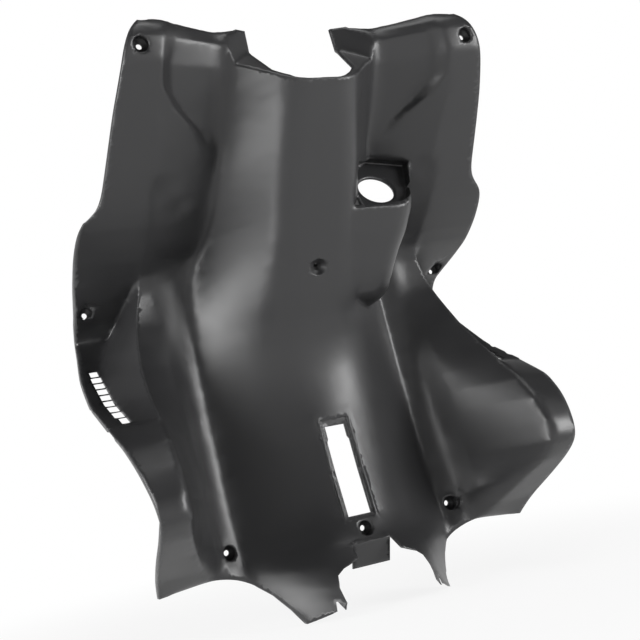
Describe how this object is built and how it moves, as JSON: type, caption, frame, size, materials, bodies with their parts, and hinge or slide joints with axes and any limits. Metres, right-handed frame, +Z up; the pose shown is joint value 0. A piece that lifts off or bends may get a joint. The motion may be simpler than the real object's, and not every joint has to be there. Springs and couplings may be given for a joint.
{
  "type": "scooter leg shield",
  "caption": "Moulded inner leg shield for a scooter with a central spine, tilted key-lock boss, plate slot, vented foot wells and screw bosses",
  "frame": {"origin": "middle of the screw hole at the centre of the lower edge", "axes": "+X is the rider's right, +Y is forward, away from the rider's knees, +Z is up"},
  "size_m": [0.479, 0.2808, 0.5965],
  "materials": {
    "black_plastic": "satin moulded black polypropylene with a fine grain"
  },
  "bodies": {
    "root": {"leg_shield": "black_plastic"}
  },
  "joints": []
}
